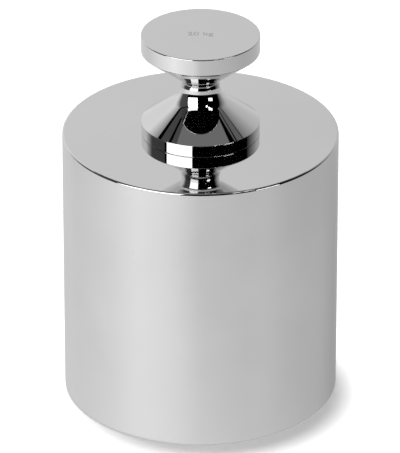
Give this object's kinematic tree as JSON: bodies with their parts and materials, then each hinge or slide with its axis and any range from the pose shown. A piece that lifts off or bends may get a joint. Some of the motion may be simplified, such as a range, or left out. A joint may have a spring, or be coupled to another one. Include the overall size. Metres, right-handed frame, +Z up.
{
  "type": "calibration weight",
  "caption": "Polished cylindrical test weight with a screwed-in, spool-shaped lifting knob and an adjusting chamber inside.",
  "frame": {"origin": "middle of the base, on the plane that the weight stands on", "axes": "+Z up along the turning axis, through the knob; X and Y are alike, because the weight is turned"},
  "size_m": [0.145, 0.145, 0.2047],
  "materials": {
    "body_steel": "polished bare stainless steel, finely turned on the side",
    "knob_steel": "mirror polished bare stainless steel",
    "shot_steel": "dull tumbled stainless steel shot"
  },
  "bodies": {
    "weight": {"body": "body_steel", "adjusting_shot": "shot_steel"},
    "knob": {"lifting_knob": "knob_steel"}
  },
  "joints": [
    {"name": "knob_lift", "type": "slide", "parent": "weight", "child": "knob", "axis": [0, 0, 1], "range_m": [0, 0.04]}
  ]
}
